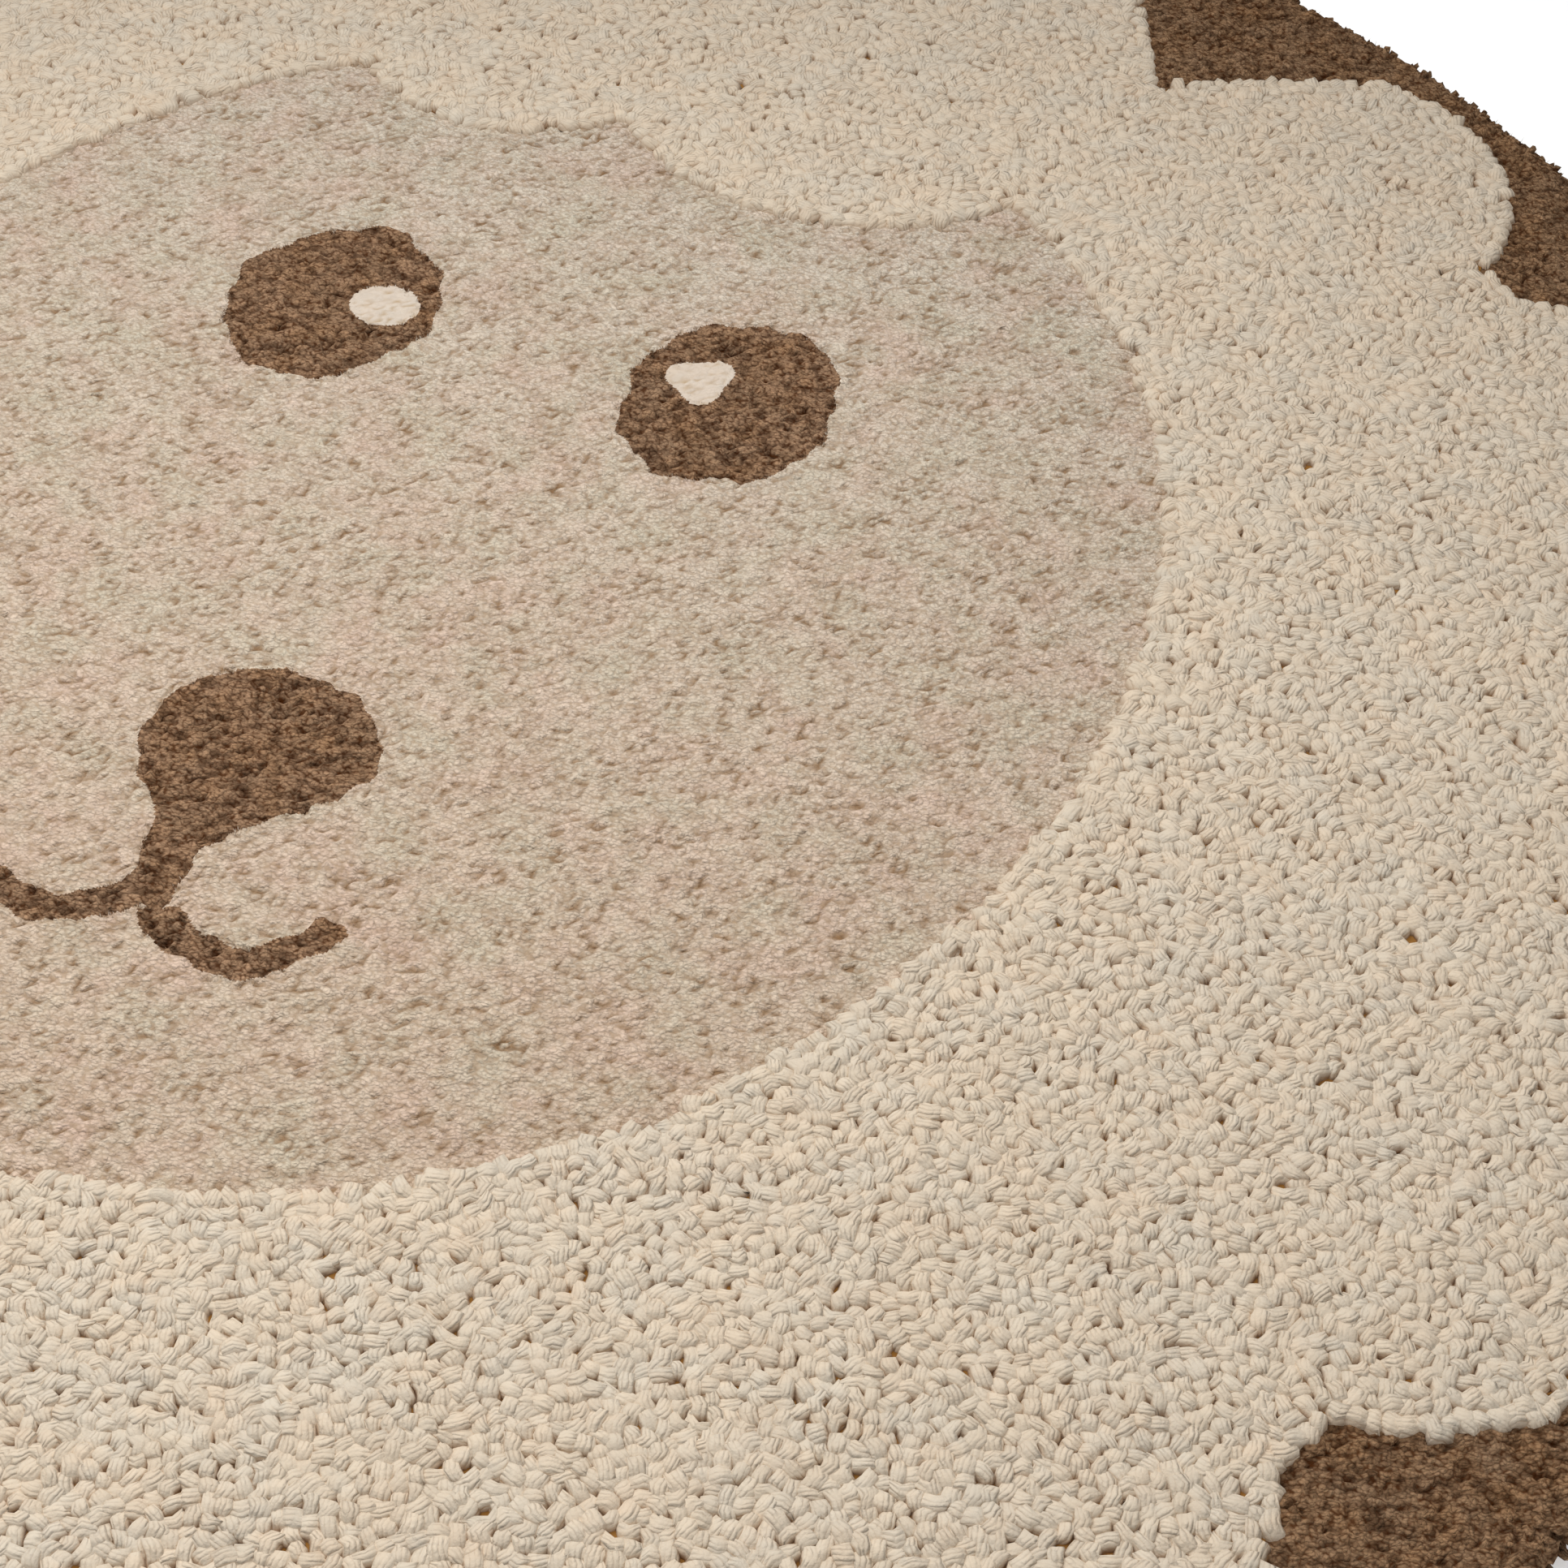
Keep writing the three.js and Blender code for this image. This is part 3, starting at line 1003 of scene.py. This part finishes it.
# Strands in a loop: how they sway, where they show, how wide the painted shade in their creases is, and how
# that shade grows where they turn down
LOOP_SWAY_SIZE = 4 * MM
LOOP_SWAY = 0.8
SHOWN_WHERE = (0.35, 0.65)
SHOWN_RANGE = (0.2, 1.0)
CREASE_SHADE_WIDTH = (0.0, 0.4)
TURNED_DOWN_WHERE = (0.55, 1.0)
TURNED_DOWN_RANGE = (1.0, 0.35)
# Soft folds across the strands: how they wander, their size, how they round over and how high
FOLD_WANDER_SIZE = 3 * MM
FOLD_WANDER = 2.4 * MM
FOLD_SIZE = 4.7 * MM
FOLD_ROUND = (0.0, 0.25)
FOLD_HEIGHT = (0.0, 0.6)
LOOP_FUZZ_SIZE = 0.6 * MM


def loop_strand_group():
    """Strands side by side in a loop: their round height, and a mask for painted shade in the thin creases
    between them.
    """
    outputs = {"Height": VALUE_SOCKET, "Gap Shade": VALUE_SOCKET}
    group, given = new_group("loop_strands", {"Fuzz": VALUE_SOCKET}, outputs)
    place = place_on_rug(group)
    sway = noise(group, place, 1 / LOOP_SWAY_SIZE, FUZZ_DETAIL)
    swayed = calculate(group, "MULTIPLY_ADD", sway, LOOP_SWAY, vertex_value(group, "strand"))
    wave = calculate(group, "SINE", calculate(group, "MULTIPLY", swayed, math.pi))
    strand_top = calculate(group, "ABSOLUTE", wave)
    shown = remap(group, sway, SHOWN_WHERE, SHOWN_RANGE)
    round_top = calculate(group, "MULTIPLY", strand_top, shown)
    crease_shade = calculate(group, "MULTIPLY", remap(group, strand_top, CREASE_SHADE_WIDTH, FALLING), shown)
    turned_down = remap(group, vertex_value(group, "painted_light"), TURNED_DOWN_WHERE, TURNED_DOWN_RANGE)
    gap = calculate(group, "MULTIPLY", crease_shade, turned_down)
    folds = {"Vector": bent_place(group, place, FOLD_WANDER_SIZE, FOLD_WANDER), "Scale": 1 / FOLD_SIZE}
    fold_kind = {"feature": "DISTANCE_TO_EDGE", "voronoi_dimensions": "2D"}
    fold = add(group, "ShaderNodeTexVoronoi", folds, **fold_kind).outputs["Distance"]
    plump = calculate(group, "MULTIPLY", remap(group, fold, FOLD_ROUND, FOLD_HEIGHT), shown)
    round_top = calculate(group, "ADD", round_top, plump)
    fuzz = noise(group, place, 1 / LOOP_FUZZ_SIZE, FUZZ_DETAIL, FUZZ_ROUGHNESS)
    height = calculate(group, "MULTIPLY_ADD", fuzz, given["Fuzz"], round_top)
    add(group, "NodeGroupOutput", {"Height": height, "Gap Shade": gap})
    return group


# Yarn finishes

YARN_ROUGHNESS = 0.95
YARN_SPECULAR = 0.02
YARN_SHEEN = 0.04
YARN_SHEEN_ROUGHNESS = 0.6
# The face yarn turns a little warmer from the brow down to the chin
BROW_Y = 220 * MM
CHIN_Y = -160 * MM
# The brown ground near the rim is a little darker than the drawn features
RING_START = 300 * MM
RING_FULL = 410 * MM

# The yarns' colours: their own, the painted shade at their roots, of warmer and cooler patches, and the
# painted shade in creases
CREAM_COLOURS = {
    "Yarn": srgb(225, 208, 185),
    "Root Shade": srgb(118, 76, 32),
    "Warm": srgb(226, 203, 177),
    "Cool": srgb(217, 209, 194),
    "Crease Shade": srgb(154, 112, 62),
}
BEIGE_COLOURS = {
    "Yarn": srgb(236, 222, 203),
    "Chin": srgb(231, 208, 185),
    "Root Shade": srgb(150, 116, 82),
    "Warm": srgb(234, 199, 180),
    "Cool": srgb(218, 211, 186),
    "Crease Shade": srgb(168, 140, 110),
}
BROWN_COLOURS = {
    "Yarn": srgb(186, 148, 116),
    "Ring": srgb(172, 136, 103),
    "Root Shade": srgb(50, 20, 2),
    "Warm": srgb(180, 135, 94),
    "Cool": srgb(172, 142, 114),
    "Crease Shade": srgb(76, 38, 10),
}
WHITE_COLOURS = {
    "Yarn": srgb(221, 205, 188),
    "Root Shade": srgb(190, 164, 132),
    "Warm": srgb(221, 201, 180),
    "Cool": srgb(216, 207, 194),
    "Crease Shade": srgb(204, 186, 162),
}

# How colours drift over a pile: in patches of one size, from tuft to tuft, and how far up from the roots the
# painted shade reaches
EVEN_DRIFT = {"Patch Scale": 1 / (14 * MM), "Patch Share": 0.5, "Tone Range": 0.04, "Root Shade Reach": 0.75}
LOOP_DRIFT = {**EVEN_DRIFT, "Tone Range": 0.05, "Root Shade Reach": 0.95}
BROAD_DRIFT = {**EVEN_DRIFT, "Patch Scale": 1 / (24 * MM)}
MOTTLED_DRIFT = {**EVEN_DRIFT, "Tone Range": 0.12}

# The finish of each yarn: its strands, how high they stand, and how dark the painted shade in the gaps
# between them is
CREAM_FINISH = {
    "colours": CREAM_COLOURS,
    "drift": LOOP_DRIFT,
    "strands": {"Fuzz": 0.5},
    "relief": 0.36 * MM,
    "strand_gap_shade_share": 0.75,
    "sheen": YARN_SHEEN,
}
# Cells that only give painted shade in the gaps between cut tufts
CUT_TUFT_GAP_SHADE = {"Fineness": 1 / (3.0 * MM), "Fuzz": 0.5}
BEIGE_FINISH = {
    "colours": BEIGE_COLOURS,
    "drift": BROAD_DRIFT,
    "strands": {"Fineness": 1 / (1.35 * MM), "Fuzz": 0.6},
    "relief": 0.75 * MM,
    "strand_gap_shade_share": 0.6,
    "tufts": CUT_TUFT_GAP_SHADE,
    "tuft_gap_shade_share": 0.25,
    "sheen": YARN_SHEEN,
}
BROWN_FINISH = {
    "colours": BROWN_COLOURS,
    "drift": MOTTLED_DRIFT,
    "strands": {"Fineness": 1 / (1.2 * MM), "Fuzz": 0.6},
    "relief": 0.95 * MM,
    "strand_gap_shade_share": 0.88,
    "tufts": CUT_TUFT_GAP_SHADE,
    "tuft_gap_shade_share": 0.65,
    "sheen": 0.0,
}
WHITE_FINISH = {
    "colours": WHITE_COLOURS,
    "drift": EVEN_DRIFT,
    "strands": {"Fineness": 1 / (1.5 * MM), "Fuzz": 0.5},
    "relief": 0.25 * MM,
    "strand_gap_shade_share": 0.2,
    "sheen": YARN_SHEEN,
}


def own_colour(tree, colours):
    """A yarn's own colour, where it turns towards another one over the rug."""
    if "Chin" in colours:
        height = add(tree, "ShaderNodeSeparateXYZ", {"Vector": place_on_rug(tree)}).outputs["Y"]
        lower = remap(tree, height, (CHIN_Y, BROW_Y), FALLING)
        return mix(tree, lower, colours["Yarn"], colours["Chin"])
    if "Ring" in colours:
        out = {0: place_on_rug(tree)}
        reach = add(tree, "ShaderNodeVectorMath", out, operation="LENGTH").outputs["Value"]
        outer = remap(tree, reach, (RING_START, RING_FULL), RISING)
        return mix(tree, outer, colours["Yarn"], colours["Ring"])
    return colours["Yarn"]


def yarn_material(name, pile_group, strand_group, finish):
    """A pile yarn: its colours, the strands with their relief, and painted shade in the gaps between strands
    and tufts.
    """
    material, tree = new_material(name)
    colours = finish["colours"]
    pile_inputs = {socket: colours[socket] for socket in ("Root Shade", "Warm", "Cool")}
    pile_inputs["Yarn"] = own_colour(tree, colours)
    pile = add(tree, "ShaderNodeGroup", {**pile_inputs, **finish["drift"]}, node_tree=pile_group)
    strands = add(tree, "ShaderNodeGroup", finish["strands"], node_tree=strand_group)
    # Painted shade in the gaps between strands, and below between tufts in the root shade colour
    between = remap(tree, strands.outputs["Gap Shade"], RISING, (0.0, finish["strand_gap_shade_share"]))
    colour = mix(tree, between, pile.outputs["Colour"], colours["Crease Shade"])
    if "tufts" in finish:
        tufts = add(tree, "ShaderNodeGroup", finish["tufts"], node_tree=strand_group)
        between = remap(tree, tufts.outputs["Gap Shade"], RISING, (0.0, finish["tuft_gap_shade_share"]))
        colour = mix(tree, between, colour, colours["Root Shade"])
    height = strands.outputs["Height"]
    bump = add(tree, "ShaderNodeBump", {"Height": height, "Strength": 1.0, "Distance": finish["relief"]})
    add_shader(tree, {
        "Base Color": colour,
        "Normal": bump.outputs["Normal"],
        "Roughness": YARN_ROUGHNESS,
        "Specular IOR Level": YARN_SPECULAR,
        "Sheen Weight": finish["sheen"],
        "Sheen Roughness": YARN_SHEEN_ROUGHNESS,
    })
    return material


# The backing's threads, and the mottled painted shade on the base of the loops
BACKING_COLOURS = (srgb(150, 134, 110), srgb(204, 190, 166))
BACKING_THREADS = {"Scale": 1 / (9 * MM), "Distortion": 0.6, "Detail": 1.0, "Detail Scale": 2.0}
BACKING_RELIEF = {"Strength": 0.5, "Distance": 0.4 * MM}
BED_SHADE_COLOURS = (srgb(132, 90, 42), srgb(174, 128, 70))
BED_SHADE_MOTTLE_SIZE = 3 * MM


def backing_material():
    """Plain woven backing cloth, its threads crossing."""
    material, tree = new_material("backing_cloth")
    place = place_on_rug(tree)
    threads = []
    for direction in ("X", "Y"):
        wave = add(tree, "ShaderNodeTexWave", {"Vector": place, **BACKING_THREADS}, bands_direction=direction)
        threads.append(wave.outputs["Fac"])
    weave = calculate(tree, "MULTIPLY", *threads)
    bump = add(tree, "ShaderNodeBump", {"Height": weave, **BACKING_RELIEF})
    add_shader(tree, {
        "Base Color": mix(tree, weave, *BACKING_COLOURS),
        "Normal": bump.outputs["Normal"],
        "Roughness": YARN_ROUGHNESS,
        "Specular IOR Level": YARN_SPECULAR,
    })
    return material


def bed_shade_material():
    """The base of the loops, seen only deep between them, coloured as painted shade."""
    material, tree = new_material("loop_bed_shade")
    mottle = noise(tree, place_on_rug(tree), 1 / BED_SHADE_MOTTLE_SIZE, PATCH_DETAIL)
    add_shader(tree, {
        "Base Color": mix(tree, mottle, *BED_SHADE_COLOURS),
        "Roughness": YARN_ROUGHNESS,
        "Specular IOR Level": YARN_SPECULAR,
    })
    return material


# The pieces of the rug

# The bed of roots under the loops: its height, and how far inside the mane's edges it ends
LOOP_BED = LOOP_TOP - 3.6 * MM
LOOP_BED_INSET = 5.5 * MM
# The ground's edge: points round it, the backing's rounded foot, and how the base of the pile draws in
GROUND_POINTS = 360
FOOT_INSET = 1 * MM
FOOT_HEIGHT = 0.6 * MM
BASE_SHOULDER_INSET = 3 * MM
BASE_SHOULDER_DROP = 3 * MM
BASE_TOP_INSET = 9 * MM
REACH_STEP = 0.5 * MM

MANE_QUARTERS = ("right", "top", "left", "bottom")
CUT_PILE_PIECES = {
    BEIGE: ("face_pile", "face_pile"),
    BROWN: ("brown_pile", "brown_pile"),
    WHITE: ("eye_glints", "glint_pile"),
}


def reach_of(inside, turns):
    """How far out from the middle a shape reaches in each direction."""
    steps = np.arange(0, RUG_RADIUS, REACH_STEP)
    held = inside(steps[None] * np.cos(turns)[:, None], steps[None] * np.sin(turns)[:, None])
    return steps[held.shape[1] - 1 - np.argmax(held[:, ::-1], axis=1)]


def ring_faces(rings, around):
    """Squares between rings of points, each ring joined to the next."""
    faces = []
    for ring in range(rings - 1):
        for step in range(around):
            after = (step + 1) % around
            low = ring * around
            high = low + around
            faces.append([low + step, low + after, high + after, high + step])
    return faces


def make_ground(roots, backing):
    """The backing cloth and the closed base of the pile, with a raised bed of roots under the mane; the
    pile's base is painted shade.
    """
    around = GROUND_POINTS
    turns = np.arange(around) * FULL_TURN / around
    face_reach = reach_of(in_face, turns) + LOOP_BED_INSET
    lobe_reach = reach_of(in_lobes, turns) - LOOP_BED_INSET
    cloth_section = (
        (BACKING_RADIUS - FOOT_INSET, 0),
        (BACKING_RADIUS, FOOT_HEIGHT),
        (BACKING_RADIUS, BACKING_HEIGHT),
    )
    section = (
        *cloth_section,
        (BACKING_RADIUS - BASE_SHOULDER_INSET, GROUND_TOP - BASE_SHOULDER_DROP),
        (BACKING_RADIUS - BASE_TOP_INSET, GROUND_TOP),
        (lobe_reach, GROUND_TOP),
        (lobe_reach, LOOP_BED),
        (face_reach, LOOP_BED),
        (face_reach, GROUND_TOP),
    )
    points = []
    for reach, height in section:
        ring = directions(turns) * np.broadcast_to(reach, around)[:, None]
        points.extend((x, y, height) for x, y in ring)
    faces = ring_faces(len(section), around)
    cloth_faces = (len(cloth_section) - 1) * around
    last = (len(section) - 1) * around
    faces.append(list(range(last, last + around)))
    faces.append(list(range(around))[::-1])
    mesh = bpy.data.meshes.new("rug_ground")
    mesh.from_pydata(points, [], faces)
    mesh.materials.append(backing)
    mesh.materials.append(roots)
    for polygon in mesh.polygons[cloth_faces:-1]:
        polygon.material_index = 1
    return new_object("rug_ground", mesh)


def make_mane(material, rng):
    """The mane's loops, in four joined meshes."""
    points = staggered_points(LOOP_PITCH, LOOP_SHIFT, RUG_RADIUS, rng)
    points = points[in_mane(points[:, 0], points[:, 1])]
    edge_tree = tree_of(np.concatenate(outer_edges() + face_edges()))
    points = settle_loops(points, edge_tree, rng)
    edge_gap, edge_heading = edge_run(points, edge_tree)
    turns = np.arctan2(points[:, 1], points[:, 0])
    quarter = np.floor(turns / QUARTER_TURN + 0.5).astype(int) % len(MANE_QUARTERS)
    pieces = []
    for index, side in enumerate(MANE_QUARTERS):
        own = quarter == index
        vertices, faces, values = loop_arrays(points[own], edge_gap[own], edge_heading[own], rng)
        pieces.append(mesh_piece(f"mane_loops_{side}", vertices, faces, values, material))
    return pieces


def make_cut_pile(materials, rng):
    """The cut pile, a joined mesh for each yarn."""
    points, values, squares, zone = pile_surface(rng)
    border = border_squares(zone)
    fine_points, fine_values, fine_squares, fine_zone = border_surface(points, values, squares[border])
    pieces = []
    for yarn, (name, slot) in CUT_PILE_PIECES.items():
        own_squares = fine_squares[fine_zone == yarn]
        edge_squares = own_squares[rng.random(len(own_squares)) < BORDER_STRAND_SHARE]
        edge_places = fine_points[edge_squares[:, 0]]
        parts = [
            surface_arrays(points, values, squares[(zone == yarn) & ~border]),
            surface_arrays(fine_points, fine_values, own_squares),
            strand_arrays(*border_strands(edge_places, rng), rng),
        ]
        if yarn == BROWN:
            parts.append(tuft_arrays(*rim_tufts(rng), rng))
            parts.append(strand_arrays(*rim_strands(rng), rng))
        vertices, faces, columns = join_arrays(parts)
        vertices[:, 2] = np.maximum(vertices[:, 2], RUG_LOW.z)
        piece = mesh_piece(name, vertices, faces, columns, materials[yarn])
        pieces.append(piece)
    return pieces


# Camera, floor and light

CAMERA_PLACE = Vector((405.2 * MM, -669.4 * MM, 704.4 * MM + CUT_TOP))
CAMERA_HEADING = Vector((-0.3568, 0.9342, 0))
CAMERA_DOWN = math.radians(46.5)
CAMERA_LENS = 70.14
CAMERA_SENSOR = 36

FLOOR_HALF = 6.0
FLOOR_CORNERS = ((-1, -1), (1, -1), (1, 1), (-1, 1))
FLOOR_HEIGHT = RUG_LOW.z - 0.2 * MM
FLOOR_COLOURS = (srgb(243, 243, 242), srgb(248, 248, 247))
FLOOR_CLOUD_SCALE = 1.5
FLOOR_CLOUD_DETAIL = 2.0
FLOOR_ROUGHNESS = 0.7
FLOOR_GLOW = 0.4

WHITE_LIGHT = (1, 1, 1, 1)
KEY_PLACE = Vector((-0.26, -0.08, 1.06))
KEY_AIM = Vector((0.3, -1.3, 0))
KEY_SIZE = 1.3
KEY_POWER = 14.0
SKY_STRENGTH = 0.386


def aim(item, place, look):
    """Puts a camera or light at a place, looking one way."""
    item.location = place
    item.rotation_euler = look.to_track_quat("-Z", "Y").to_euler()


def make_camera():
    data = bpy.data.cameras.new("camera")
    data.sensor_width = CAMERA_SENSOR
    data.lens = CAMERA_LENS
    camera = new_object("camera", data)
    look = CAMERA_HEADING * math.cos(CAMERA_DOWN) - Vector((0, 0, math.sin(CAMERA_DOWN)))
    aim(camera, CAMERA_PLACE, look)
    bpy.context.scene.camera = camera


def floor_material():
    material, tree = new_material("pale_floor")
    cloud = noise(tree, place_on_rug(tree), FLOOR_CLOUD_SCALE, FLOOR_CLOUD_DETAIL)
    add_shader(tree, {
        "Base Color": mix(tree, cloud, *FLOOR_COLOURS),
        "Roughness": FLOOR_ROUGHNESS,
        "Emission Color": WHITE_LIGHT,
        "Emission Strength": FLOOR_GLOW,
    })
    return material


def make_floor():
    mesh = bpy.data.meshes.new("floor")
    corners = [(x * FLOOR_HALF, y * FLOOR_HALF, FLOOR_HEIGHT) for x, y in FLOOR_CORNERS]
    mesh.from_pydata(corners, [], [(0, 1, 2, 3)])
    mesh.materials.append(floor_material())
    floor = new_object("floor", mesh)


def make_light():
    data = bpy.data.lights.new("soft_key", "AREA")
    data.size = KEY_SIZE
    data.energy = KEY_POWER
    aim(new_object("soft_key", data), KEY_PLACE, KEY_AIM - KEY_PLACE)
    world = bpy.data.worlds.new("soft_sky")
    world.use_nodes = True
    sky = world.node_tree.nodes["Background"]
    sky.inputs["Color"].default_value = WHITE_LIGHT
    sky.inputs["Strength"].default_value = SKY_STRENGTH
    bpy.context.scene.world = world
    bpy.context.scene.view_settings.view_transform = "Standard"


# Build the rug and its stage
SEED = 15
rng = np.random.default_rng(SEED)
make_camera()
make_floor()
make_light()
pile_group = pile_colour_and_shade_group()
cut_group = strand_ends_group()
cream_yarn = yarn_material("cream_loop_yarn", pile_group, loop_strand_group(), CREAM_FINISH)
cut_yarns = {
    BEIGE: yarn_material("beige_cut_yarn", pile_group, cut_group, BEIGE_FINISH),
    BROWN: yarn_material("brown_cut_yarn", pile_group, cut_group, BROWN_FINISH),
    WHITE: yarn_material("white_cut_yarn", pile_group, cut_group, WHITE_FINISH),
}
ground = make_ground(bed_shade_material(), backing_material())
mane = make_mane(cream_yarn, rng)
cut_pile = make_cut_pile(cut_yarns, rng)

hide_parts("rug")
for piece in [ground, *mane, *cut_pile]:
    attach(piece, "root")
